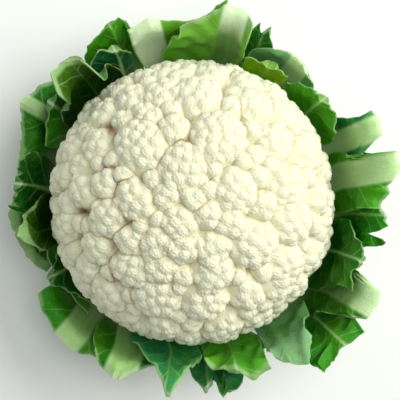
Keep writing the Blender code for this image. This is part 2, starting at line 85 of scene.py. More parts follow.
# Finer levels of the head, which only the looks have: small lobes on each floret and buds on them
HEAD_GRID = 600 if FINE else 380
GRID_EVEN = 0.78
GRID_POWER = 5
LOBE_RADIUS = 4.2
LOBE_VARIES = 0.2
LOBE_RISE = 1.2
LOBE_SINK = 0.7
LOBE_PITCH = 6.6
LOBE_REACH = 0.97
LOBES_LEAST = 4
LOBE_DRAW = 7
BUD_RADIUS = 1.1
BUD_RISE = 0.4
BUD_SIZES = (0.75, 1.15)
BUD_HEIGHTS = (0.7, 1.1)
BUD_PITCH = 1.95
BUD_CAP = 80.0
BUD_TILT = 0.15
BUD_DRAW = 8
BUDS_LEAST = 6
LOWEST = math.pi - math.atan2(HEAD_FOOT_RADIUS, HEAD_DROP)
EVEN = np.linspace(0.0, 1.0, 400)
FOOT_RING = 0.02
SINE_MOST = 0.99
SINE_LEAST = 0.05
WINDOW_MOST = 0.5
WINDOW_SPARE = 2

# Stalk, with its outline as (radius, height) from the flat cut end up to the head's foot
GAP = 0.3
STALK_RADIUS = 26.4
STALK_TOP = HEAD_MID_Z - HEAD_DROP - GAP
STALK_OUTLINE = [
    (0.0, 0.0),
    (24.5, 0.0),
    (25.3, 0.4),
    (25.6, 1.4),
    (25.2, 5.0),
    (25.2, 8.0),
    (26.2, 13.0),
    (26.2, 31.0),
    (25.2, STALK_TOP - 2.0),
    (24.5, STALK_TOP),
    (0.0, STALK_TOP),
]
STALK_ROWS = 150
STALK_SIDES = 180
SCARS = 9
SCAR_TURN = 0.9
SCAR_DEPTH = 0.35
SCAR_MOST = 0.15
SCAR_RADII = (23.5, 24.5)
SCAR_LOW = (2.0, 6.0)
SCAR_HIGH = (STALK_TOP - 6.0, STALK_TOP - 2.0)
AXIS_RADIUS = 0.01
MERGE = 0.02

# Leaves grow along a bowl, given as (radius, height) for the innermost whorl
BOWL = [
    (STALK_RADIUS + 0.6, 27.5),
    (45.0, 30.5),
    (60.0, 36.5),
    (74.0, 46.0),
    (82.5, 58.0),
    (86.5, 70.0),
    (91.0, 82.0),
    (99.5, 91.0),
    (112.0, 96.0),
    (128.0, 98.0),
]
BOWL_STEPS = 60
BOWL_SAMPLES = 400
WHORL_DEPTH = (2.5, 9.5, 16.5)

# Places along a leaf, as lengths from the stalk
TURN_FROM = 5.0
WIDEN_FROM = 20.0
WIDEN_TO = 72.0
PETIOLE_TO = 55.0
WAVE_FROM = 55.0
WAVE_TO = 85.0
BELLY_FROM = 58.0
BELLY_TO = 96.0
FLARE_FROM = 60.0
FLARE_TO = 110.0
ROLL_FROM = 76.0
ROLL_TO = 100.0
TAPER_TO = 110.0

# Form of a leaf
FLARE_SPREAD = 0.25
RIB_BASE_THICK = 5.0
RIB_TIP_THICK = 2.4
RIB_FLANK = 1.25
PETIOLE_EDGE = 0.9
BASE_HALF_WIDTH = 6.2
BEND_FROM = 88.0
BEND_TO = 108.0
BEND_STEPS = 16
CURL_RADIUS = 7.0
UPRIGHT = 75.0
WAVE_HEIGHT = 1.8
WAVE_LENGTH = 26.0
WAVE_PER_RIB = 1.0 / 37.0
WAVE_PER_SIDE = 0.2
BELLY_MOST = 9.0
BELLY_SHARE = 0.42

# Finer form of the leaves, which only the looks have
BLADE_THICK = 0.8
LEAF_PITCH = 1.25 if FINE else 2.5
LEAF_LENGTH = 125.0
LEAF_REACH = 100.0
COLUMNS_LEAST = 12
TRIM = 0.9
VEIN_PITCH = 15.0
VEIN_SLANT = 0.9
QUILT_HEIGHT = 0.7
QUILT_FROM = 6.0
RIPPLE_HEIGHT = 1.1
RIPPLE_LENGTH = 13.0
RIPPLE_PER_LEAF = 0.37
RIPPLE_PER_SIDE = 0.5
BUCKLE_HEIGHT = 1.2
BUCKLE_LENGTH = 27.0
BUCKLE_PER_LEAF = 0.29
TORN_PITCH = 2.2
TORN_FINER = 3.1
TORN_LEVELS = (0.5, 7.5)
TORN_COARSE = 1.3
TORN_FINE = 0.5
RIB_ROUND = 0.75
RIB_RAISE = 1.2
RAISE_FROM = 40.0
RAISE_TO = 70.0
RAISE_HOLLOW = 0.3
RIB_THIN = 5.0
SHARP_EDGE = 50.0
PALE_FROM = 30.0
PALE_TO = 75.0
TINY = 1e-9

# A leaf's own map counts its lengths and widths in units of this many millimetres
OWN_UNIT = 100.0

# Where the pieces lie on their bake maps
HEAD_CHART = (0.004, 0.996)
FOOT_CHART = 0.998
STALK_CHART = (0.005, 0.995)
LEAF_CHART = (0.01, 0.99)
FACE_CHART = (0.01, 0.48)
RIM_CHART = (0.492, 0.508)

GOLDEN_TURN = math.pi * (3.0 - math.sqrt(5.0))
HEXAGON = math.sqrt(3.0) / 2.0
ALONG_Y = 0.9

# The florets that show from above, as (x, y, radius)
FLORETS = [
    (-28.5, 31.7, 15.2), (-4.5, 19.8, 14.2), (16.2, 37.2, 16.3), (24.9, 6.7, 12.5),
    (35.8, -24.9, 14.2), (3.1, 61.2, 13.6), (35.8, 55.7, 10.9), (47.8, 35.0, 11.4),
    (52.1, 52.4, 9.8), (32.5, 68.8, 10.3), (12.9, 75.3, 9.8), (-17.6, 62.2, 10.3),
    (-35.0, 60.1, 9.8), (-25.2, 49.2, 7.8), (-38.3, 47.0, 6.5), (-10.0, 41.5, 8.2),
    (-51.4, 51.4, 9.8), (-54.6, 32.8, 9.8), (-68.8, 30.7, 9.3), (-49.2, 10.0, 8.2),
    (-63.3, 6.7, 9.3), (-31.7, 1.2, 11.4), (-47.5, -9.1, 11.4), (-73.1, -15.1, 9.8),
    (-54.1, -26.0, 10.3), (-34.5, -38.0, 10.9), (-35.0, -21.6, 8.2), (-19.8, -23.8, 9.3),
    (-17.6, -37.4, 9.3), (12.4, -41.2, 11.4), (11.8, -27.1, 9.8), (-4.5, -26.0, 9.3),
    (-6.7, -11.8, 9.8), (9.6, -7.5, 7.1), (22.2, -11.8, 8.2), (-14.3, 3.4, 7.1),
    (0.9, 2.3, 6.5), (-19.8, -55.4, 13.6), (7.5, -58.7, 12.5), (32.5, -53.8, 9.8),
    (-48.1, -53.2, 12.0), (54.3, -35.8, 12.0), (50.0, -48.9, 9.3), (57.6, -10.7, 13.6),
    (55.4, 10.0, 12.5), (67.4, 28.5, 12.5), (64.1, 44.8, 10.3), (73.9, 2.3, 9.8),
    (70.6, -32.5, 10.3), (-15.4, -71.7, 10.9), (18.4, -72.8, 11.4), (39.1, -67.4, 9.3),
]

# One leaf: its whorl from inside to outside, the angle where it leaves the stalk, the angle of its
# rib where it shows, half its rib's width, the angle that its end bends over to, how far its two side
# edges roll, negative towards the head, and its trimmed edge as (angle, reach from the axis)
Leaf = namedtuple("Leaf", "name whorl base rib rib_half bend roll_low roll_high edge")
LEAVES = [
    Leaf("leaf_01", 0, 0, 10, 8.0, -50, 0, -2, [(-2, 107), (5, 110), (9, 117), (14, 116), (15.5, 99)]),
    Leaf("leaf_02", 0, 35, 38, 3.0, None, 0, 0, [(27, 91), (35, 94), (43, 92), (51, 88)]),
    Leaf("leaf_03", 0, 68, 60, 4.0, None, -5, -4, [(53, 90), (60, 89), (69, 88)]),
    Leaf("leaf_04", 0, 100, 77, 7.5, -20, -8, 0, [(71, 104), (75, 110), (80, 111), (86, 103), (94, 98)]),
    Leaf("leaf_05", 0, 140, 131, 4.5, 10, -17, -15,
         [(126, 96), (128, 102), (132, 105), (137, 107), (141, 102)]),
    Leaf("leaf_06", 0, 208, 208, 3.0, None, 0, 0, [(201, 84), (206, 89), (210, 92), (214, 86), (218, 83)]),
    Leaf("leaf_07", 0, 240, 262, 3.0, -25, 0, 0, [(254, 88), (258, 95), (263, 110), (268, 96), (273, 90)]),
    Leaf("leaf_08", 0, 296, 302, 4.0, -10, -3, 0, [(297, 95), (300, 103), (306, 111), (312, 99)]),
    Leaf("leaf_09", 0, 328, 341, 3.0, None, 0, 0,
         [(331, 103), (336, 98), (342, 101), (347, 97), (352, 90)]),
    Leaf("leaf_10", 1, 25, 22, 7.0, -45, 0, 0, [(17, 97), (19, 113), (24, 115), (27, 112)]),
    Leaf("leaf_11", 1, 62, 52, 7.5, -10, -2, 0, [(43, 92), (48, 98), (53, 101), (61, 100), (63, 94)]),
    Leaf("leaf_12", 1, 98, 105, 9.0, -25, 0, 0,
         [(80, 114), (86, 107), (92, 102), (98, 104), (104, 107), (110.5, 103)]),
    Leaf("leaf_13", 1, 127, 117, 3.0, None, -3, 0, [(112.5, 94), (115, 96), (122, 100), (125, 96)]),
    Leaf("leaf_14", 1, 181, 174, 3.0, None, 0, 0, [(165, 98), (169, 102), (174, 99), (180, 102)]),
    Leaf("leaf_15", 1, 235, 247, 9.5, -45, 0, 1,
         [(239, 100), (241.5, 107), (245, 109.5), (248, 109), (250.5, 102), (258, 89)]),
    Leaf("leaf_16", 0, 268, 285, 4.5, -60, 0, 0,
         [(275, 92), (280, 95), (285, 97), (289, 105), (295.5, 103)]),
    Leaf("leaf_17", 1, 318, 331, 9.0, -20, 0, 0,
         [(323, 107), (326, 117), (331, 118), (334.5, 116.5), (336.5, 104)]),
    Leaf("leaf_18", 1, 350, 356, 3.5, None, 0, 2,
         [(345, 98), (348, 113), (350, 101), (353, 111), (358, 107), (362, 101)]),
    Leaf("leaf_19", 2, 67, 67, 3.0, None, 3, 0, [(63, 96), (66, 108), (67.5, 102), (69, 109), (72, 98)]),
    Leaf("leaf_20", 2, 121, 115, 3.0, None, 0, 0,
         [(107.3, 92), (108.8, 98), (110, 105), (111.3, 112), (117, 109), (122, 106)]),
    Leaf("leaf_21", 2, 155, 149, 5.0, -60, 0, 2,
         [(138, 106), (144, 111), (150, 114), (160, 106), (168, 102)]),
    Leaf("leaf_22", 2, 190, 190, 6.0, -65, 0, 0,
         [(178, 102), (183, 106), (188, 107), (196, 102), (203, 94)]),
    Leaf("leaf_23", 2, 222, 228, 9.0, -55, 2, 2,
         [(214, 104), (221, 109), (228, 111), (233, 110), (237, 107)]),
    Leaf("leaf_24", 2, 276, 275, 3.5, None, 3, 3,
         [(266, 94), (269, 95), (274, 108), (277, 103), (279, 112), (285, 107), (288, 100), (296, 98),
          (303, 92)]),
    Leaf("leaf_25", 2, 312, 317, 4.0, None, 0, 0,
         [(305, 107), (306.5, 114), (308, 121), (315, 118), (323, 121), (324.5, 113), (326, 105)]),
    Leaf("leaf_26", 2, 9, 1, 4.0, None, 3, 3, [(-8, 98), (-2, 104), (4, 101), (7, 90)]),
    Leaf("leaf_27", 0, 178, 191, 3.5, -45, 0, 0, [(185, 91), (188, 97), (191, 99), (194, 95), (197, 90)]),
    Leaf("leaf_28", 2, 40, 40, 5.0, None, 0, 0, [(28, 90), (36, 93), (46, 92), (56, 88)]),
    Leaf("leaf_29", 2, 94, 89, 5.0, None, 0, 0, [(77, 93), (85, 98), (95, 96), (103, 91), (106, 89)]),
    Leaf("leaf_30", 2, 249, 251, 4.0, None, 0, 0, [(244, 90), (251, 93), (258, 88)]),
    Leaf("leaf_31", 2, 340, 340, 5.0, None, 0, 0, [(331, 90), (340, 95), (349, 91)]),
    Leaf("leaf_32", 1, 208, 211, 5.0, None, 0, 0, [(201, 87), (206, 90), (213, 88), (222, 86)]),
    Leaf("leaf_33", 1, 154, 145, 4.0, None, 0, 0, [(133, 93), (141, 98), (150, 96), (156, 91)]),
]

# Brown painted shade in the deep creases on the head's left, shaded side, as (x, y, radius of each spot)
CREASE_SHADE_SPOTS = [
    (-44.8, 38.3, 4.0), (-43.7, 19.8, 4.5), (-38.3, 11.0, 5.0), (-57.9, -4.2, 3.5),
    (-36.1, -10.7, 4.0), (-20.9, 12.1, 4.0), (-44.8, -23.8, 4.5), (-43.7, -41.2, 4.0),
    (-4.5, 33.9, 4.5), (-30.0, -50.0, 4.0), (-14.0, -46.0, 4.0),
]

# Blade colours, linear
TONES = {
    "deep": (0.004, 0.090, 0.003),
    "mid": (0.012, 0.190, 0.004),
    "fresh": (0.022, 0.270, 0.005),
    "young": (0.200, 0.520, 0.050),
    "sea": (0.030, 0.260, 0.090),
    "night": (0.003, 0.090, 0.030),
    "spring": (0.110, 0.370, 0.004),
    "vivid": (0.060, 0.320, 0.002),
    "lime": (0.240, 0.460, 0.004),
    "light": (0.090, 0.380, 0.020),
    "pale": (0.220, 0.450, 0.210),
    "olive": (0.035, 0.110, 0.001),
}

# Other colours of the leaves, linear
MOTTLED = (0.55, 0.85, 0.4)
YELLOWER = (0.16, 0.34, 0.01)
NET_GREEN = (0.30, 0.50, 0.15)
VEIN_GREEN = (0.30, 0.54, 0.16)
# Painted shade, multiplied into a blade's inner face towards the head
POCKET_SHADE = (0.10, 0.26, 0.04)
BACK_GREEN = (0.14, 0.30, 0.13)
# Colours of the pale band at a leaf's turned-over end, partly waxy bloom and partly painted highlight
WAXY_AND_HIGHLIGHT = (0.20, 0.42, 0.12), (0.42, 0.60, 0.28)
RIB_GREEN = (0.27, 0.55, 0.11), (0.31, 0.60, 0.14)
RIB_WHITE = (0.74, 0.92, 0.57), (0.82, 0.95, 0.67)
RIB_OLIVE = (0.04, 0.15, 0.01), (0.08, 0.24, 0.01)
EDGE_PALE = (0.55, 0.72, 0.34)
LEAF_FOOT = (0.60, 0.70, 0.40)

# Colours of the curd and the stalk, linear
CREAM = (0.85, 0.84, 0.64), (0.80, 0.81, 0.61)
# Between the lobes: partly their own dusky colour, partly painted shade
DUSKY_AND_SHADE = (0.64, 0.56, 0.30)
# In the creases between florets: partly their own tan colour, partly painted shade
TAN_AND_SHADE = (0.52, 0.38, 0.17)
# Brown painted shade for the deep creases at the listed spots
BROWN_SHADE = (0.26, 0.10, 0.035)
BRANCH = (0.66, 0.70, 0.44), (0.78, 0.80, 0.60)
RIND = (0.42, 0.56, 0.22), (0.62, 0.70, 0.40)
FLESH = (0.78, 0.76, 0.56), (0.60, 0.66, 0.38)
FLESH_STAIN = (0.55, 0.42, 0.22)

# How a leaf looks: its blade's colour, the pale rib's width at the end as a share of the rib, how white
# it is, how far it fades towards the head, how torn the leaf's edge is in millimetres, how strongly
# painted shade darkens the blade's inner face towards the head, and the width of the pale band at its
# end in millimetres, which is partly waxy bloom and partly painted highlight
Look = namedtuple("Look", "tone rib white fade torn pocket band")
PLAIN = Look("mid", 0.25, 0.0, 0.5, 1.0, 0.7, 0.0)
LOOKS = {
    "leaf_01": Look("vivid", 1.0, 0.45, 0.3, 0.8, 0.3, 2.0),
    "leaf_02": Look("vivid", 0.3, 0.2, 0.2, 0.8, 0.2, 0.0),
    "leaf_03": Look("lime", 0.0, 0.0, 1.0, 0.6, 0.2, 0.0),
    "leaf_04": Look("young", 1.0, 1.0, 0.9, 1.0, 0.2, 3.0),
    "leaf_05": Look("olive", 0.0, 0.6, 1.0, 1.2, 1.0, 3.0),
    "leaf_06": Look("deep", 0.2, 0.0, 0.5, 2.5, 0.7, 0.0),
    "leaf_07": Look("sea", 0.15, 0.0, 0.5, 2.0, 0.5, 3.0),
    "leaf_08": Look("pale", 0.1, 0.0, 0.8, 1.5, 0.4, 0.0),
    "leaf_09": Look("mid", 0.25, 0.1, 0.2, 2.5, 0.7, 0.0),
    "leaf_10": Look("sea", 1.0, 0.4, 0.1, 0.6, 0.3, 2.0),
    "leaf_11": Look("pale", 0.9, 0.6, 0.3, 1.5, 0.3, 0.0),
    "leaf_12": Look("spring", 1.05, 1.0, 0.0, 0.8, 0.0, 0.0),
    "leaf_13": Look("night", 0.2, 0.2, 0.3, 1.5, 1.0, 1.0),
    "leaf_14": Look("deep", 0.25, 0.0, 0.3, 3.5, 0.6, 0.0),
    "leaf_15": Look("mid", 1.0, 0.25, 0.55, 0.6, 0.6, 2.0),
    "leaf_16": Look("light", 0.2, 0.0, 0.8, 1.0, 0.4, 4.0),
    "leaf_17": Look("mid", 1.0, 0.6, 0.8, 0.8, 0.5, 3.0),
    "leaf_18": Look("fresh", 0.25, 0.1, 0.2, 2.5, 0.3, 0.0),
    "leaf_19": Look("mid", 0.15, 0.0, 0.5, 2.5, 0.5, 0.0),
    "leaf_20": Look("vivid", 0.12, 0.0, 0.2, 0.8, 0.3, 0.0),
    "leaf_21": Look("mid", 0.9, 0.4, 0.5, 1.0, 1.0, 4.0),
    "leaf_22": Look("olive", 0.2, 0.0, 0.8, 1.0, 1.0, 7.0),
    "leaf_23": Look("fresh", 1.0, 0.3, 0.7, 0.6, 1.0, 2.0),
    "leaf_24": Look("sea", 0.15, 0.0, 0.5, 3.0, 0.6, 0.0),
    "leaf_25": Look("fresh", 0.25, 0.2, 0.2, 1.5, 0.3, 0.0),
    "leaf_26": Look("mid", 0.2, 0.1, 0.5, 2.0, 0.4, 0.0),
    "leaf_27": Look("olive", 0.0, 0.0, 0.9, 0.6, 1.0, 8.0),
}

# Studio
CAMERA_X = 4.5
CAMERA_Y = 1.1
CAMERA_LEVEL = 70.0
CAMERA_DISTANCE = 800.0
VIEW_WIDTH = 224.0
SENSOR = 36.0
FLOOR_SIDE = 4000.0
FLOOR_COLOUR = (0.93, 0.93, 0.93)
WORLD_COLOUR = (0.93, 1.0, 0.96, 1.0)
WORLD_STRENGTH = 0.25

# Lamps, each with its azimuth, elevation, distance, side, watts and colour
LAMPS = [
    ("key", 25.0, 38.0, 2200.0, 1700.0, 49.0, (1.0, 0.98, 0.93)),
    ("top", 20.0, 80.0, 2400.0, 1200.0, 18.0, (1.0, 1.0, 1.0)),
    ("fill", 150.0, 18.0, 2200.0, 1200.0, 6.5, (0.93, 1.0, 0.96)),
]


def smoothstep(low, high, value):
    share = np.clip((np.asarray(value, float) - low) / (high - low), 0.0, 1.0)
    return share * share * (3.0 - 2.0 * share)


# Meshes


def make_piece(name, points, quads, node, charts):
    """One piece from points in millimetres and quads, with its bake map, that stands for a CAD node."""
    mesh = bpy.data.meshes.new(name)
    mesh.vertices.add(len(points))
    mesh.vertices.foreach_set("co", np.ascontiguousarray(points * MM, np.float32).ravel())
    mesh.loops.add(quads.size)
    mesh.loops.foreach_set("vertex_index", np.ascontiguousarray(quads, np.int32).ravel())
    mesh.polygons.add(len(quads))
    mesh.polygons.foreach_set("loop_start", np.arange(0, quads.size, 4, dtype=np.int32))
    mesh.update(calc_edges=True)
    mesh.shade_smooth()
    for layer, places in charts.items():
        uv = mesh.uv_layers.new(name=layer)
        uv.uv.foreach_set("vector", np.ascontiguousarray(places, np.float32).ravel())
    piece = bpy.data.objects.new(name, mesh)
    bpy.context.scene.collection.objects.link(piece)
    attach(piece, "root")
    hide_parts(node)
    return piece


def add_values(piece, name, values):
    """A number for each vertex, which the material reads."""
    layer = piece.data.attributes.new(name, "FLOAT", "POINT")
    layer.data.foreach_set("value", np.ascontiguousarray(values, np.float32).ravel())


def add_colour(piece, name, colour):
    """One colour over the whole piece, which the material reads."""
    layer = piece.data.attributes.new(name, "FLOAT_COLOR", "POINT")
    layer.data.foreach_set("color", np.tile((*colour, 1.0), len(piece.data.vertices)).astype(np.float32))


def grid_quads(rows, columns, first=0):
    """Quads over a grid of points numbered row by row."""
    index = first + np.arange(rows * columns).reshape(rows, columns)
    corners = [index[:-1, :-1], index[1:, :-1], index[1:, 1:], index[:-1, 1:]]
    return np.stack(corners, axis=-1).reshape(-1, 4)


def border(rows, columns):
    """The numbers of a grid's outer points, in the order of its quads' own edges."""
    index = np.arange(rows * columns).reshape(rows, columns)
    return np.concatenate([index[:-1, 0], index[-1, :-1], index[:0:-1, -1], index[0, :0:-1]])


# Curd


def sides_of(axis):
    """Two unit vectors square to an axis and to each other."""
    side = np.cross(axis, (0.0, 1.0, 0.0) if abs(axis[1]) < ALONG_Y else (1.0, 0.0, 0.0))
    side /= np.linalg.norm(side)
    return side, np.cross(axis, side)


def around(axis, half_angle, count):
    """Unit vectors spread evenly by the golden angle over a cap round an axis."""
    side, other = sides_of(axis)
    k = np.arange(count) + 0.5
    height = 1.0 - k / count * (1.0 - math.cos(math.radians(half_angle)))
    flat = np.sqrt(1.0 - height**2)
    turn = k * GOLDEN_TURN
    return (
        np.outer(height, axis)
        + np.outer(flat * np.cos(turn), side)
        + np.outer(flat * np.sin(turn), other)
    )


def dome_point(direction):
    """Where the head's dome lies in a direction from its centre."""
    depth = HEAD_RISE if direction[2] >= 0.0 else HEAD_DROP
    wide = (direction[0] ** 2 + direction[1] ** 2) / HEAD_RADIUS**2
    return direction / math.sqrt(wide + (direction[2] / depth) ** 2)


def dome_normal(point):
    """Outward normal of the dome, taken as deeper below than it is, so that low florets face outwards."""
    depth = HEAD_RISE if point[2] >= 0.0 else LOWER_DEPTH
    normal = np.array([point[0], point[1], point[2] * (HEAD_RADIUS / depth) ** 2])
    return normal / np.linalg.norm(normal)


def fill_gaps(florets, steps, least, growth, most):
    """Adds a floret wherever the ones so far leave room."""
    for direction in around(np.array([0.0, 0.0, 1.0]), FLORET_LOWEST, steps):
        point = dome_point(direction)
        room = min(np.linalg.norm(point - other) - radius for other, radius in florets)
        if room > least:
            florets.append((point, min(room * growth, most)))


def placed_florets():
    """(point on the dome, radius) of every floret: those seen from above, then those that fill the gaps."""
    florets = []
    for x, y, radius in FLORETS:
        level = math.sqrt(max(0.0, 1.0 - (x * x + y * y) / HEAD_RADIUS**2))
        florets.append((np.array([x, y, HEAD_RISE * level]), radius))
    widest = FILL_RADIUS * FILL_MOST
    fill_gaps(florets, FILL_STEPS, FILL_RADIUS * FILL_LEAST, FILL_GROWTH, widest)
    fill_gaps(florets, SMALL_STEPS, SMALL_LEAST, SMALL_GROWTH, widest)
    return florets


def floret_profile(radius, away):
    """A floret's height over the dome at a share of its width from its middle."""
    return FLORET_LIFT * (radius - FLORET_MEAN) - FLORET_DROP * radius * away**FLORET_POWER


def warped(points):
    """Points moved by slow waves, so that the florets are less round."""
    before, after = np.roll(points, 1, axis=-1), np.roll(points, -1, axis=-1)
    return points + WARP * (np.sin(before / WARP_SHORT) + np.sin(after / WARP_LONG))


def floret_heights(points, florets):
    """(height, seam): how far florets stand over the dome, and how near a point is to where two meet."""
    first = np.full(points.shape[:-1], -CREASE_DEPTH)
    second = first.copy()
    moved = warped(points)
    for centre, radius in florets:
        away = np.linalg.norm(moved - warped(centre), axis=-1) / (radius * FLORET_WIDE)
        height = floret_profile(radius, away)
        second = np.maximum(second, np.minimum(first, height))
        first = np.maximum(first, height)
    return first, np.exp(second - first)


def placed_lobes(florets):
    """(points on the dome, outward directions, radii) of the lobes, spread over each floret."""
    draw = np.random.default_rng(LOBE_DRAW)
    lobes = []
    for centre, radius in florets:
        side, other = sides_of(dome_normal(centre))
        wide = radius * FLORET_WIDE
        count = max(LOBES_LEAST, round(math.pi * (wide * LOBE_REACH / LOBE_PITCH) ** 2 / HEXAGON))
        for k in range(count):
            away = LOBE_REACH * math.sqrt((k + 0.5) / count)
            turn = k * GOLDEN_TURN + centre[0]
            out = side * math.cos(turn) + other * math.sin(turn)
            point = centre + out * away * wide
            point = dome_point(point / np.linalg.norm(point))
            steep = FLORET_DROP * FLORET_POWER / FLORET_WIDE * away ** (FLORET_POWER - 1.0)
            outward = dome_normal(point) + out * steep
            outward /= np.linalg.norm(outward)
            lobes.append((point, outward, LOBE_RADIUS * draw.uniform(1.0 - LOBE_VARIES, 1.0 + LOBE_VARIES)))
    return [np.array(values) for values in zip(*lobes)]


def placed_buds(centres, outward, radii):
    """(centre, radius) of the buds that cover each lobe."""
    draw = np.random.default_rng(BUD_DRAW)
    share = 2.0 * math.pi * (1.0 - math.cos(math.radians(BUD_CAP)))
    buds = []
    for lobe, way_out, size in zip(centres, outward, radii):
        axis = way_out + draw.normal(0.0, BUD_TILT, 3)
        count = max(BUDS_LEAST, round(share * (size / BUD_PITCH) ** 2 / HEXAGON))
        for way in around(axis / np.linalg.norm(axis), BUD_CAP, count):
            bud = BUD_RADIUS * draw.uniform(*BUD_SIZES)
            buds.append((lobe + way * (size + BUD_RISE * draw.uniform(*BUD_HEIGHTS) - bud), bud))
    return buds


def spaced(share):
    """Turns an even share of the grid into a share of the polar angle: closer rows on top than below."""
    return GRID_EVEN * share + (1.0 - GRID_EVEN) * share**GRID_POWER


def square_to_head():
    """The square grid laid over the head: directions, polar angle and turn."""
    line = np.linspace(-1.0, 1.0, HEAD_GRID)
    a, b = np.meshgrid(line, line, indexing="ij")
    wide = np.abs(a) > np.abs(b)
    share = np.where(wide, np.abs(a), np.abs(b))
    ratio = np.where(wide, b / np.where(a == 0, 1, a), a / np.where(b == 0, 1, b))
    turn = np.where(wide, ratio * math.pi / 4, math.pi / 2 - ratio * math.pi / 4)
    turn = turn + np.where(np.where(wide, a, b) < 0, math.pi, 0.0)
    polar = spaced(share) * LOWEST
    level = np.sin(polar)
    directions = np.stack([level * np.cos(turn), level * np.sin(turn), np.cos(polar)], axis=-1)
    return directions, polar, turn


def head_to_square(point):
    """Where a point falls on the square, from -1 to 1 each way, with its share and polar angle."""
    polar = math.acos(point[2] / np.linalg.norm(point))
    share = float(np.interp(polar / LOWEST, spaced(EVEN), EVEN))
    turn = math.atan2(point[1], point[0])
    quarter = round(turn / (math.pi / 2.0))
    along = share * (turn - quarter * math.pi / 2.0) / (math.pi / 4.0)
    a, b = {0: (share, along), 1: (-along, share), -1: (along, -share)}.get(quarter, (-share, -along))
    return a, b, share, polar


def raise_spheres(reach, directions, spheres):
    """Lifts the grid to the outside of each sphere, a small window at a time."""
    half = (HEAD_GRID - 1) / 2.0
    for centre, radius in spheres:
        a, b, share, polar = head_to_square(centre)
        spread = math.asin(min(SINE_MOST, radius / np.linalg.norm(centre)))
        down = spread / LOWEST / GRID_EVEN
        across = share * spread / max(math.sin(polar), SINE_LEAST) / (math.pi / 4.0)
        window = int((down + min(across, WINDOW_MOST)) * half) + WINDOW_SPARE
        i, j = int((a + 1.0) * half), int((b + 1.0) * half)
        rows = slice(max(0, i - window), i + window + 1)
        columns = slice(max(0, j - window), j + window + 1)
        along = directions[rows, columns] @ centre
        inside = along**2 - (centre @ centre - radius**2)
        hit = np.where(inside > 0.0, along + np.sqrt(np.maximum(inside, 0.0)), 0.0)
        np.maximum(reach[rows, columns], hit, out=reach[rows, columns])


def foot_cap(grid):
    """(points, quads) of a ring and a middle that close the head's flat foot."""
    rim = border(HEAD_GRID, HEAD_GRID)
    middle = np.array([0.0, 0.0, HEAD_MID_Z - HEAD_DROP])
    count = len(rim)
    ring = len(grid) + np.arange(count)
    near = np.arange(count // 2 - 1)
    far = count - 1 - near
    around_ring = np.stack([rim, ring, np.roll(ring, -1), np.roll(rim, -1)], axis=-1)
    across_ring = np.stack([ring[near], ring[far], ring[far - 1], ring[near + 1]], axis=-1)
    return middle + (grid[rim] - middle) * FOOT_RING, np.vstack([around_ring, across_ring])[:, ::-1]


def crease_shade_of(points):
    """How near each point is to a spot of brown painted shade in the creases, from 0 to 1."""
    amount = np.zeros(len(points))
    for x, y, radius in CREASE_SHADE_SPOTS:
        gap = np.hypot(points[:, 0] - x, points[:, 1] - y) / radius
        amount = np.maximum(amount, np.exp(-(gap**2)))
    return amount * (points[:, 2] > HEAD_MID_Z)


def build_curd(material):
    directions, polar, turn = square_to_head()
    depth = np.where(directions[..., 2] >= 0.0, HEAD_RISE, HEAD_DROP)
    flat = (directions[..., 0] ** 2 + directions[..., 1] ** 2) / HEAD_RADIUS**2
    dome = 1.0 / np.sqrt(flat + (directions[..., 2] / depth) ** 2)
    under = smoothstep(math.radians(UNDER_FROM), math.radians(UNDER_TO), polar)
    lower = (polar / LOWEST) ** BRANCH_POWER
    branches = 1.0 + BRANCH_RELIEF * np.cos(BRANCHES * turn) * under * (1.0 - lower)
    florets = placed_florets()
    over, seam = floret_heights(directions * dome[..., None], florets)
    grown, outward, radii = placed_lobes(florets)
    heights = (floret_heights(grown, florets)[0] - LOBE_SINK) / np.linalg.norm(grown, axis=-1)
    centres = grown * (1.0 + heights[:, None]) + outward * (LOBE_RISE - radii)[:, None]
    base = (dome - LOBE_SINK + over * (1.0 - under)) * branches
    reach = base.copy()
    raise_spheres(reach, directions, zip(centres, radii))
    raise_spheres(reach, directions, placed_buds(centres, outward, radii))
    between = base + LOBE_RISE - reach
    foot = math.hypot(HEAD_FOOT_RADIUS, HEAD_DROP)
    reach = reach + (foot - reach) * smoothstep(FOOT_FROM, 1.0, polar / LOWEST)
    grid = (directions * reach[..., None]).reshape(-1, 3) + (0.0, 0.0, HEAD_MID_Z)
    foot_points, foot_quads = foot_cap(grid)
    points = np.vstack([grid, foot_points])
    quads = np.vstack([grid_quads(HEAD_GRID, HEAD_GRID), foot_quads])
    line = np.linspace(*HEAD_CHART, HEAD_GRID)
    square = np.stack(np.meshgrid(line, line, indexing="ij"), axis=-1).reshape(-1, 2)
    square = np.vstack([square, np.full((len(foot_points), 2), FOOT_CHART)])
    piece = make_piece("curd_fine", points, quads, "curd", {"OFBake": square[quads]})
    for name, values, at_foot in (
        ("crease", -over, 0.0),
        ("seam", seam, 0.0),
        ("between", between, 0.0),
        ("beneath", under, 1.0),
    ):
        add_values(piece, name, np.append(values.ravel(), np.full(len(foot_points), at_foot)))
    add_values(piece, "painted_crease_shade", crease_shade_of(points))
    piece.data.materials.append(material)


# Leaves


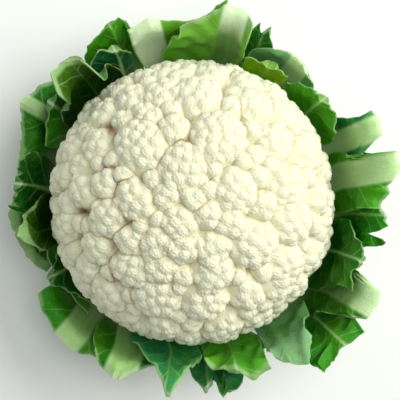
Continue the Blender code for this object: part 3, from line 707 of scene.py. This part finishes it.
def bowl_curve():
    """The bowl's outline as (length, radius, height, slope), from a smooth curve through its points."""
    knots = np.array(BOWL)
    knots = np.vstack([2 * knots[0] - knots[1], knots, 2 * knots[-1] - knots[-2]])
    t = np.linspace(0.0, 1.0, BOWL_STEPS, endpoint=False)[:, None]
    parts = []
    for k in range(1, len(knots) - 2):
        p0, p1, p2, p3 = knots[k - 1 : k + 3]
        square = 2 * p0 - 5 * p1 + 4 * p2 - p3
        cube = 3 * p1 - p0 - 3 * p2 + p3
        parts.append(0.5 * (2 * p1 + (p2 - p0) * t + square * t**2 + cube * t**3))
    points = np.vstack(parts + [knots[-2:-1]])
    length = np.concatenate([[0.0], np.cumsum(np.hypot(*np.diff(points, axis=0).T))])
    even = np.linspace(0.0, length[-1], BOWL_SAMPLES)
    radius = np.interp(even, length, points[:, 0])
    height = np.interp(even, length, points[:, 1])
    slope = np.arctan2(np.gradient(height), np.gradient(radius))
    return even, radius, height, slope


def leaf_path(bowl, depth, reach, bend):
    """(radius, height, length) of one lengthwise line of a leaf that ends at a reach from the axis.

    Where the leaf reaches far enough, its end bends over to an angle from the horizontal.
    """
    length, radius, height, slope = bowl
    offset = depth * (1.0 + FLARE_SPREAD * smoothstep(FLARE_FROM, FLARE_TO, length))
    r = radius + offset * np.sin(slope)
    z = height - offset * np.cos(slope)
    bending = 0.0 if bend is None else smoothstep(BEND_FROM, BEND_TO, reach)
    last = math.radians(UPRIGHT + ((bend or 0.0) - UPRIGHT) * bending)
    curl = CURL_RADIUS * bending
    run = curl * np.maximum(np.sin(slope) - math.sin(last), 0.0)
    past = np.nonzero((r + run >= reach) & (length > FLARE_FROM))[0]
    stop = past[0] if len(past) else len(r) - 1
    turned = np.linspace(slope[stop], min(last, slope[stop]), BEND_STEPS)[1:]
    r = np.concatenate([r[: stop + 1], r[stop] + curl * (math.sin(slope[stop]) - np.sin(turned))])
    z = np.concatenate([z[: stop + 1], z[stop] + curl * (np.cos(turned) - math.cos(slope[stop]))])
    return r, z, np.concatenate([length[: stop + 1], length[stop] + curl * (slope[stop] - turned)])


def belly(leaf):
    """How many degrees wider than its end a leaf is lower down, on each side, where its whorl has room."""
    room = {-1: 360.0, 1: 360.0}
    for other in LEAVES:
        if other.whorl == leaf.whorl and other is not leaf:
            room[1] = min(room[1], (other.edge[0][0] - leaf.edge[-1][0]) % 360.0)
            room[-1] = min(room[-1], (leaf.edge[0][0] - other.edge[-1][0]) % 360.0)
    return {side: min(BELLY_MOST, BELLY_SHARE * gap) for side, gap in room.items()}


def torn_share(angle, seed):
    """How deep the leaf's end is torn at an angle, from 0 to 1, with narrow spikes left standing."""
    at = angle / TORN_PITCH
    coarse = abs(noise.noise(Vector((at, seed, TORN_LEVELS[0]))))
    fine = abs(noise.noise(Vector((at * TORN_FINER, seed, TORN_LEVELS[1]))))
    return min(1.0, TORN_COARSE * coarse + TORN_FINE * fine)


def fine_relief(leaf, lengths, width, side, opened):
    """How far the looks' own veins, ripples and buckles push the blade outwards."""
    seed = float(leaf.name[-2:])
    turns = lengths / RIPPLE_LENGTH + seed * RIPPLE_PER_LEAF + RIPPLE_PER_SIDE * side
    ripple = np.sin(2.0 * math.pi * turns)
    ripple = RIPPLE_HEIGHT * ripple * abs(side) ** 3 * smoothstep(WAVE_FROM, WAVE_TO, lengths)
    phase = (lengths - np.abs(width) * VEIN_SLANT) / VEIN_PITCH
    blade = smoothstep(leaf.rib_half, leaf.rib_half + QUILT_FROM, np.abs(width))
    quilt = QUILT_HEIGHT * np.cos(2.0 * math.pi * phase) * blade * opened * (1.0 - side**4)
    swell = np.sin(2.0 * math.pi * (lengths / BUCKLE_LENGTH + seed * BUCKLE_PER_LEAF + side))
    buckle = BUCKLE_HEIGHT * swell * blade * smoothstep(WAVE_FROM, WAVE_TO, lengths)
    return ripple + quilt + buckle


def leaf_line(leaf, bowl, angle, reach, wider, rows):
    """(points, lengths, widths, side) of one lengthwise line of a leaf's inner face, with its fine relief."""
    low, high = leaf.edge[0][0], leaf.edge[-1][0]
    side = (angle - leaf.rib) / ((high - leaf.rib) if angle > leaf.rib else (leaf.rib - low))
    r, z, s = leaf_path(bowl, WHORL_DEPTH[leaf.whorl], reach, leaf.bend)
    steps = np.linspace(0.0, s[-1], rows)
    r, z, s = np.interp(steps, s, r), np.interp(steps, s, z), steps
    opened = smoothstep(WIDEN_FROM, WIDEN_TO, s)
    middle = leaf.base + (leaf.rib - leaf.base) * smoothstep(TURN_FROM, WIDEN_TO, s)
    narrow = math.degrees(BASE_HALF_WIDTH / STALK_RADIUS) * side * BOWL[0][0] / r
    full = angle - leaf.rib + side * wider * (1.0 - smoothstep(BELLY_FROM, BELLY_TO, s))
    off = np.radians(narrow + (full - narrow) * opened)
    turn = np.radians(middle) + off
    roll = leaf.roll_high if side > 0 else leaf.roll_low
    phase = s / WAVE_LENGTH + leaf.rib * WAVE_PER_RIB + WAVE_PER_SIDE * side
    wave = WAVE_HEIGHT * np.sin(2.0 * math.pi * phase) * smoothstep(WAVE_FROM, WAVE_TO, s)
    push = side**2 * (roll * smoothstep(ROLL_FROM, ROLL_TO, s) + wave)
    push = push + fine_relief(leaf, s, off * r, side, opened)
    width = off * r
    steep = np.arctan2(np.gradient(z), np.gradient(r))
    r, z = r + push * np.sin(steep), z - push * np.cos(steep)
    points = np.stack([r * np.cos(turn), r * np.sin(turn), z], axis=-1)
    return points, s, width, np.full(rows, side)


def leaf_face(leaf, bowl):
    """The leaf's inner face on a fine grid: points, lengths, widths from the rib, and sides from -1 to 1."""
    edge = np.array(leaf.edge, float)
    wide = math.radians(edge[-1, 0] - edge[0, 0]) * LEAF_REACH
    columns = max(COLUMNS_LEAST, round(wide / LEAF_PITCH))
    rows = round(LEAF_LENGTH / LEAF_PITCH)
    wider = belly(leaf)
    torn = LOOKS.get(leaf.name, PLAIN).torn
    lines = []
    for angle in np.linspace(edge[0, 0], edge[-1, 0], columns):
        reach = np.interp(angle, edge[:, 0], edge[:, 1]) - TRIM
        reach -= torn * torn_share(angle, float(leaf.name[-2:]))
        lines.append(leaf_line(leaf, bowl, angle, reach, wider[1 if angle > leaf.rib else -1], rows))
    return [np.stack(values, axis=1) for values in zip(*lines)]


def leaf_thickness(leaf, lengths, widths, sides):
    """(thickness, how far the rib stands out of the inner face) at each point."""
    across = np.clip(np.abs(widths) / (leaf.rib_half * RIB_FLANK), 0.0, 1.0)
    tall = RIB_BASE_THICK + (RIB_TIP_THICK - RIB_BASE_THICK) * smoothstep(WIDEN_FROM, TAPER_TO, lengths)
    rib = tall * (1.0 - across**2) ** RIB_ROUND
    petiole = RIB_BASE_THICK * np.sqrt(np.clip(1.0 - (sides * PETIOLE_EDGE) ** 2, 0.0, 1.0))
    petiole = petiole * (1.0 - smoothstep(WIDEN_FROM, PETIOLE_TO, lengths))
    raised = RIB_RAISE * (1.0 - across**2) ** 2 * smoothstep(RAISE_FROM, RAISE_TO, lengths)
    if leaf.rib_half > RIB_THIN:
        raised = raised * (across**2 - RAISE_HOLLOW)
    return BLADE_THICK + np.maximum(rib, petiole), raised


def build_leaf(leaf, bowl, material):
    """A leaf as its inner face, its outer face a thickness away, and the rim between them."""
    inner, lengths, widths, sides = leaf_face(leaf, bowl)
    normal = np.cross(np.gradient(inner, axis=0), np.gradient(inner, axis=1))
    normal /= np.maximum(np.linalg.norm(normal, axis=-1, keepdims=True), TINY)
    thick, raised = leaf_thickness(leaf, lengths, widths, sides)
    outer = inner - normal * thick[..., None]
    inner = inner + normal * raised[..., None]
    rows, columns = lengths.shape
    count = rows * columns
    points = np.vstack([inner.reshape(-1, 3), outer.reshape(-1, 3)])
    rim = border(rows, columns)
    after = np.roll(rim, -1)
    strip = np.stack([rim, rim + count, after + count, after], axis=-1)
    faces = [grid_quads(rows, columns), grid_quads(rows, columns, count)[:, ::-1], strip]
    quads = np.vstack(faces)
    own = np.tile(np.stack([lengths, widths], axis=-1).reshape(-1, 2) / OWN_UNIT, (2, 1))
    charts = {"leaf_mm": own[quads], "OFBake": leaf_chart(rows, columns, faces, count)}
    piece = make_piece(leaf.name + "_fine", points, quads, leaf.name, charts)
    piece.data.set_sharp_from_angle(angle=math.radians(SHARP_EDGE))
    look = LOOKS.get(leaf.name, PLAIN)
    pale_half = leaf.rib_half * (1.0 + (look.rib - 1.0) * smoothstep(PALE_FROM, PALE_TO, lengths))
    for name, values in (
        ("rib_half", pale_half),
        ("from_end", lengths[-1:] - lengths),
        ("from_side", 1.0 - np.abs(sides)),
        ("rib_fade", np.full(lengths.shape, look.fade)),
        ("rib_white", np.full(lengths.shape, look.white)),
        ("pocket", np.full(lengths.shape, look.pocket)),
        ("band", np.full(lengths.shape, look.band)),
    ):
        add_values(piece, name, np.tile(values.ravel(), 2))
    add_values(piece, "back", np.repeat([0.0, 1.0], count))
    add_colour(piece, "blade", TONES[look.tone])
    piece.data.materials.append(material)


def leaf_chart(rows, columns, faces, count):
    """Places on the bake's map: the inner face at the left, the outer at the right, the rim between."""
    i, j = np.meshgrid(np.linspace(*LEAF_CHART, rows), np.linspace(*FACE_CHART, columns), indexing="ij")
    inner = np.stack([j, i], axis=-1).reshape(-1, 2)
    places = np.vstack([inner, inner * (-1.0, 1.0) + (1.0, 0.0)])
    low = np.linspace(*LEAF_CHART, len(faces[2]) + 1)
    along = np.stack([low[:-1], low[:-1], low[1:], low[1:]], axis=-1)
    side = np.where(faces[2] < count, *RIM_CHART)
    strip = np.stack([side, along], axis=-1).reshape(-1, 2)
    return np.vstack([places[faces[0]].reshape(-1, 2), places[faces[1]].reshape(-1, 2), strip])


# Stalk


def build_stalk(material):
    """The cut stalk, turned round its axis, with shallow scars of trimmed leaves round it."""
    profile = np.array(STALK_OUTLINE)
    length = np.concatenate([[0.0], np.cumsum(np.hypot(*np.diff(profile, axis=0).T))])
    even = np.linspace(0.0, length[-1], STALK_ROWS)
    radius, height = np.interp(even, length, profile[:, 0]), np.interp(even, length, profile[:, 1])
    turn = np.linspace(0.0, 2.0 * math.pi, STALK_SIDES + 1)
    scar = SCAR_DEPTH * np.cos(SCARS * turn[None, :] + height[:, None] * SCAR_TURN)
    wall = smoothstep(*SCAR_RADII, radius) * smoothstep(*SCAR_LOW, height)
    wall = wall * (1.0 - smoothstep(*SCAR_HIGH, height))
    ring = np.maximum(radius[:, None] + np.minimum(scar, SCAR_MOST) * wall[:, None], AXIS_RADIUS)
    level = np.repeat(height[:, None], STALK_SIDES + 1, axis=1)
    points = np.stack([ring * np.cos(turn), ring * np.sin(turn), level], axis=-1).reshape(-1, 3)
    quads = grid_quads(STALK_ROWS, STALK_SIDES + 1)[:, ::-1]
    across = np.linspace(*STALK_CHART, STALK_ROWS)
    down = np.linspace(*STALK_CHART, STALK_SIDES + 1)
    chart = np.stack(np.meshgrid(across, down, indexing="ij"), axis=-1).reshape(-1, 2)
    piece = make_piece("stalk_fine", points, quads, "stalk", {"OFBake": chart[quads]})
    weld_seam(piece)
    piece.data.materials.append(material)


def weld_seam(piece):
    """Joins the turned surface's first and last columns, and its points on the axis."""
    work = bmesh.new()
    work.from_mesh(piece.data)
    bmesh.ops.remove_doubles(work, verts=work.verts, dist=MERGE * MM)
    work.to_mesh(piece.data)
    work.free()


# Materials


class Graph:
    """A material's nodes, added one by one."""

    def __init__(self, name):
        self.material = bpy.data.materials.new(name)
        self.material.use_nodes = True
        self.tree = self.material.node_tree
        self.shader = self.tree.nodes["Principled BSDF"]

    def plug(self, value, socket):
        if isinstance(value, bpy.types.NodeSocket):
            self.tree.links.new(value, socket)
        else:
            socket.default_value = value

    def math(self, operation, a, b=0.0, clamp=False):
        node = self.tree.nodes.new("ShaderNodeMath")
        node.operation = operation
        node.use_clamp = clamp
        self.plug(a, node.inputs[0])
        self.plug(b, node.inputs[1])
        return node.outputs[0]

    def plus(self, a, b):
        return self.math("ADD", a, b)

    def minus(self, a, b):
        return self.math("SUBTRACT", a, b)

    def times(self, a, b):
        return self.math("MULTIPLY", a, b)

    def ramp(self, value, low, high, start=0.0, end=1.0):
        """A smooth step of a value between two numbers."""
        node = self.tree.nodes.new("ShaderNodeMapRange")
        node.interpolation_type = "SMOOTHSTEP"
        self.plug(value, node.inputs["Value"])
        self.plug(low, node.inputs["From Min"])
        self.plug(high, node.inputs["From Max"])
        self.plug(start, node.inputs["To Min"])
        self.plug(end, node.inputs["To Max"])
        return node.outputs["Result"]

    def mix(self, share, a, b, blend="MIX"):
        node = self.tree.nodes.new("ShaderNodeMix")
        node.data_type = "RGBA"
        node.blend_type = blend
        self.plug(share, node.inputs[0])
        for socket, value in ((node.inputs[6], a), (node.inputs[7], b)):
            self.plug(value if isinstance(value, bpy.types.NodeSocket) else (*value, 1.0), socket)
        return node.outputs[2]

    def attribute(self, name, output="Fac"):
        node = self.tree.nodes.new("ShaderNodeAttribute")
        node.attribute_name = name
        return node.outputs[output]

    def place(self):
        """The piece's own coordinates, in metres."""
        return self.tree.nodes.new("ShaderNodeTexCoord").outputs["Object"]

    def noise(self, scale, detail=3.0, vector=None):
        node = self.tree.nodes.new("ShaderNodeTexNoise")
        self.plug(vector or self.place(), node.inputs["Vector"])
        node.inputs["Scale"].default_value = scale
        node.inputs["Detail"].default_value = detail
        return node.outputs["Fac"]

    def voronoi(self, scale, feature="F1", vector=None):
        node = self.tree.nodes.new("ShaderNodeTexVoronoi")
        node.feature = feature
        self.plug(vector or self.place(), node.inputs["Vector"])
        node.inputs["Scale"].default_value = scale
        return node.outputs["Distance"]

    def stretched(self, vector, scale):
        """A vector with each part multiplied."""
        node = self.tree.nodes.new("ShaderNodeVectorMath")
        node.operation = "MULTIPLY"
        self.plug(vector, node.inputs[0])
        node.inputs[1].default_value = scale
        return node.outputs[0]

    def split(self, vector):
        node = self.tree.nodes.new("ShaderNodeSeparateXYZ")
        self.plug(vector, node.inputs[0])
        return node.outputs

    def bump(self, height, distance, strength=1.0):
        node = self.tree.nodes.new("ShaderNodeBump")
        self.plug(height, node.inputs["Height"])
        node.inputs["Distance"].default_value = distance
        node.inputs["Strength"].default_value = strength
        self.tree.links.new(node.outputs["Normal"], self.shader.inputs["Normal"])

    def finish(self, colour, **values):
        self.plug(colour, self.shader.inputs["Base Color"])
        for name, value in values.items():
            self.plug(value, self.shader.inputs[name.replace("_", " ")])
        return self.material


def curd_material():
    """Cream florets, tan in the creases and dusky between lobes, partly their own colour and partly
    painted shade, brown painted shade in a few deep creases, and greenish white on the branches.
    """
    g = Graph("curd_white")
    seam = g.times(g.attribute("seam"), g.ramp(g.attribute("crease"), -0.5, 2.5))
    small = g.ramp(g.attribute("between"), 0.4, 1.5)
    cream = g.mix(g.noise(60.0, 2.0), *CREAM)
    # Dusky in the hollows between lobes, partly own colour and partly painted shade
    dusky_and_shaded = g.mix(g.times(small, 0.3), cream, DUSKY_AND_SHADE)
    # Tan in the creases between florets, partly own colour and partly painted shade
    tan_and_shade = g.times(g.ramp(seam, 0.08, 0.85), g.ramp(g.noise(35.0, 3.0), 0.35, 0.65, 0.2, 0.8))
    warm_and_shaded = g.mix(tan_and_shade, dusky_and_shaded, TAN_AND_SHADE)
    sunk = g.math("MAXIMUM", g.ramp(seam, 0.3, 0.85), g.ramp(g.attribute("crease"), 2.2, 4.6))
    # Brown painted shade in the deep creases near the listed spots
    brown_shade = g.times(g.attribute("painted_crease_shade"), sunk)
    brown_shaded = g.mix(g.times(brown_shade, 0.9), warm_and_shaded, BROWN_SHADE)
    branch = g.mix(g.noise(90.0, 3.0), *BRANCH)
    colour = g.mix(g.attribute("beneath"), brown_shaded, branch)
    bead = g.math("POWER", g.voronoi(1.0 / 0.0013), 2.0)
    g.bump(g.minus(1.0, bead), 0.0003, 0.55)
    g.shader.inputs["Subsurface Radius"].default_value = (1.0, 0.9, 0.6)
    return g.finish(
        colour,
        Roughness=0.65,
        Specular_IOR_Level=0.2,
        Subsurface_Weight=0.45,
        Subsurface_Scale=0.0014,
    )


def leaf_veins(g, own, along, across):
    """(veins, net): veins that leave the rib at a slant, and the fine net between them."""
    side = g.math("GREATER_THAN", g.split(own)[1], 0.0)
    phase = g.minus(along, g.times(across, VEIN_SLANT))
    phase = g.plus(phase, g.times(side, VEIN_PITCH * 0.4))
    cycle = g.math("FRACT", g.math("DIVIDE", phase, VEIN_PITCH))
    off = g.times(g.math("ABSOLUTE", g.minus(cycle, 0.5)), VEIN_PITCH)
    thin = g.ramp(across, 4.0, 26.0, 1.1, 0.4)
    vein = g.math("SUBTRACT", 1.0, g.math("DIVIDE", off, thin), clamp=True)
    cells = g.stretched(own, (OWN_UNIT, OWN_UNIT, 0.0))
    net = g.ramp(g.voronoi(1.0 / 5.5, "DISTANCE_TO_EDGE", cells), 0.0, 0.07, 1.0, 0.0)
    return vein, net


def leaf_material():
    """Green blade with pale ribs and a net of veins, paler on its outer face, with painted shade that
    darkens its inner face towards the head.
    """
    g = Graph("leaf_green")
    uv = g.tree.nodes.new("ShaderNodeUVMap")
    uv.uv_map = "leaf_mm"
    own = uv.outputs["UV"]
    wander = g.times(g.minus(g.noise(45.0, 2.0), 0.5), 9.0)
    straight = g.times(g.split(own)[0], OWN_UNIT)
    along = g.plus(straight, wander)
    across = g.math("ABSOLUTE", g.times(g.split(own)[1], OWN_UNIT))
    back = g.attribute("back")
    front = g.minus(1.0, back)
    from_end = g.attribute("from_end")
    vein, net = leaf_veins(g, own, along, across)

    # Blade: mottled, with yellower patches, and painted shade that darkens its inner face towards the head
    mottles = g.ramp(g.noise(40.0, 4.0), 0.35, 0.7, 0.0, 0.7)
    varied = g.mix(mottles, g.attribute("blade", "Color"), MOTTLED, "MULTIPLY")
    fresh = g.mix(g.ramp(g.noise(22.0, 2.0), 0.5, 0.75, 0.0, 0.35), varied, YELLOWER)
    netted = g.mix(g.times(net, 0.12), fresh, NET_GREEN)
    veined = g.mix(g.times(vein, 0.45), netted, VEIN_GREEN)
    # Painted shade: a mask that darkens the inner face towards the head, as strong as the leaf's painted
    # pocket shade
    deep = g.times(g.ramp(from_end, 5.0, 28.0), g.attribute("pocket"))
    shaded = g.mix(g.times(deep, front), veined, POCKET_SHADE, "MULTIPLY")
    faced = g.mix(back, shaded, g.mix(0.4, veined, BACK_GREEN))

    # Pale band where the end turns over, partly waxy bloom and partly painted highlight
    band = g.minus(g.attribute("band"), from_end)
    waxy_and_highlight = g.ramp(g.plus(band, g.times(wander, 0.3)), -1.5, 1.5, 0.0, 0.8)
    waxed_and_highlit = g.mix(g.times(waxy_and_highlight, front), faced, g.mix(g.noise(90.0), *WAXY_AND_HIGHLIGHT))

    # Rib, pale where it was cut, with long fibres
    fibre = g.ramp(g.noise(1.0, 2.0, g.stretched(own, (2.0, 34.0, 0.0))), 0.2, 0.8)
    green = g.mix(fibre, *RIB_GREEN)
    whitish = g.mix(fibre, *RIB_WHITE)
    ended = g.math("MAXIMUM", g.attribute("rib_white"), g.ramp(from_end, 0.5, 9.0, 0.7, 0.0))
    pale = g.mix(ended, green, whitish)
    inward = g.times(g.ramp(from_end, 3.0, 24.0), g.attribute("rib_fade"))
    olive = g.mix(fibre, *RIB_OLIVE)
    rib_colour = g.mix(g.times(inward, front), pale, olive)
    beyond = g.minus(across, g.attribute("rib_half"))
    rib = g.ramp(g.plus(beyond, g.times(wander, 0.12)), -1.6, 0.8, 0.94, 0.0)
    ribbed = g.mix(rib, waxed_and_highlit, rib_colour)

    # Thin pale edge, and the pale foot by the stalk
    at_end = g.ramp(from_end, 0.1, 0.9, 0.4, 0.0)
    at_side = g.ramp(g.attribute("from_side"), 0.01, 0.035, 0.3, 0.0)
    edge = g.math("MAXIMUM", at_end, at_side)
    edge = g.times(edge, g.ramp(g.noise(120.0, 2.0), 0.4, 0.6, 0.3, 1.0))
    edge = g.times(edge, g.ramp(g.attribute("rib_white"), 0.0, 0.6, 0.3, 1.0))
    trimmed = g.mix(edge, ribbed, EDGE_PALE)
    colour = g.mix(g.ramp(straight, 30.0, 62.0, 0.9, 0.0), trimmed, LEAF_FOOT)
    relief = g.plus(g.times(net, 0.4), g.times(g.noise(400.0, 3.0), 0.3))
    raised = g.times(vein, g.minus(1.0, rib))
    fibres = g.times(g.times(fibre, rib), 0.3)
    relief = g.plus(relief, g.plus(raised, fibres))
    g.bump(relief, 0.0004, 0.6)
    g.shader.inputs["Subsurface Radius"].default_value = (0.4, 1.0, 0.15)
    return g.finish(
        colour,
        Roughness=0.45,
        Specular_IOR_Level=0.18,
        Subsurface_Weight=0.35,
        Subsurface_Scale=0.0015,
    )


def stalk_material():
    """Pale green rind and a creamy cut face with a faint ring."""
    g = Graph("stalk_pale_green")
    x, y, z = g.split(g.place())
    cut = g.ramp(z, 0.0006, 0.0014, 1.0, 0.0)
    rind = g.mix(g.noise(70.0, 4.0), *RIND)
    reach = g.math("SQRT", g.plus(g.times(x, x), g.times(y, y)))
    ring = g.times(g.ramp(reach, 0.016, 0.019), g.ramp(reach, 0.020, 0.0225, 1.0, 0.0))
    flesh = g.mix(ring, *FLESH)
    stained = g.mix(g.ramp(g.noise(140.0, 5.0), 0.5, 0.75, 0.0, 0.5), flesh, FLESH_STAIN)
    g.bump(g.noise(500.0, 4.0), 0.0003, 0.6)
    return g.finish(g.mix(cut, rind, stained), Roughness=0.5, Subsurface_Weight=0.15, Subsurface_Scale=0.003)


# Studio


def build_floor():
    bpy.ops.mesh.primitive_plane_add(size=FLOOR_SIDE * MM, location=(0.0, 0.0, 0.0))
    floor = bpy.context.object
    floor.name = "floor"
    floor.data.materials.append(Graph("floor_white").finish((*FLOOR_COLOUR, 1.0), Roughness=0.9))


def add_lamp(name, azimuth, elevation, distance, size, power, colour):
    """A soft square lamp that looks at the head."""
    data = bpy.data.lights.new(name, "AREA")
    data.shape = "SQUARE"
    data.size = size * MM
    data.energy = power
    data.color = colour
    lamp = bpy.data.objects.new(name, data)
    turn, tilt = math.radians(azimuth), math.radians(elevation)
    away = Vector((math.cos(turn) * math.cos(tilt), math.sin(turn) * math.cos(tilt), math.sin(tilt)))
    lamp.location = (Vector((0.0, 0.0, HEAD_MID_Z)) + away * distance) * MM
    lamp.rotation_euler = (-away).to_track_quat("-Z", "Y").to_euler()
    bpy.context.scene.collection.objects.link(lamp)


def build_studio():
    build_floor()
    for lamp in LAMPS:
        add_lamp(*lamp)
    world = bpy.data.worlds.new("studio")
    world.use_nodes = True
    light = world.node_tree.nodes["Background"].inputs
    light["Color"].default_value = WORLD_COLOUR
    light["Strength"].default_value = WORLD_STRENGTH
    bpy.context.scene.world = world
    bpy.context.scene.view_settings.view_transform = "Standard"


def build_camera():
    data = bpy.data.cameras.new("camera")
    data.sensor_width = SENSOR
    data.lens = SENSOR * CAMERA_DISTANCE / VIEW_WIDTH
    camera = bpy.data.objects.new("camera", data)
    camera.location = Vector((CAMERA_X, CAMERA_Y, CAMERA_LEVEL + CAMERA_DISTANCE)) * MM
    bpy.context.scene.collection.objects.link(camera)
    bpy.context.scene.camera = camera


def main():
    build_curd(curd_material())
    build_stalk(stalk_material())
    leaf_green = leaf_material()
    bowl = bowl_curve()
    for leaf in LEAVES:
        build_leaf(leaf, bowl, leaf_green)
    build_studio()
    build_camera()


main()
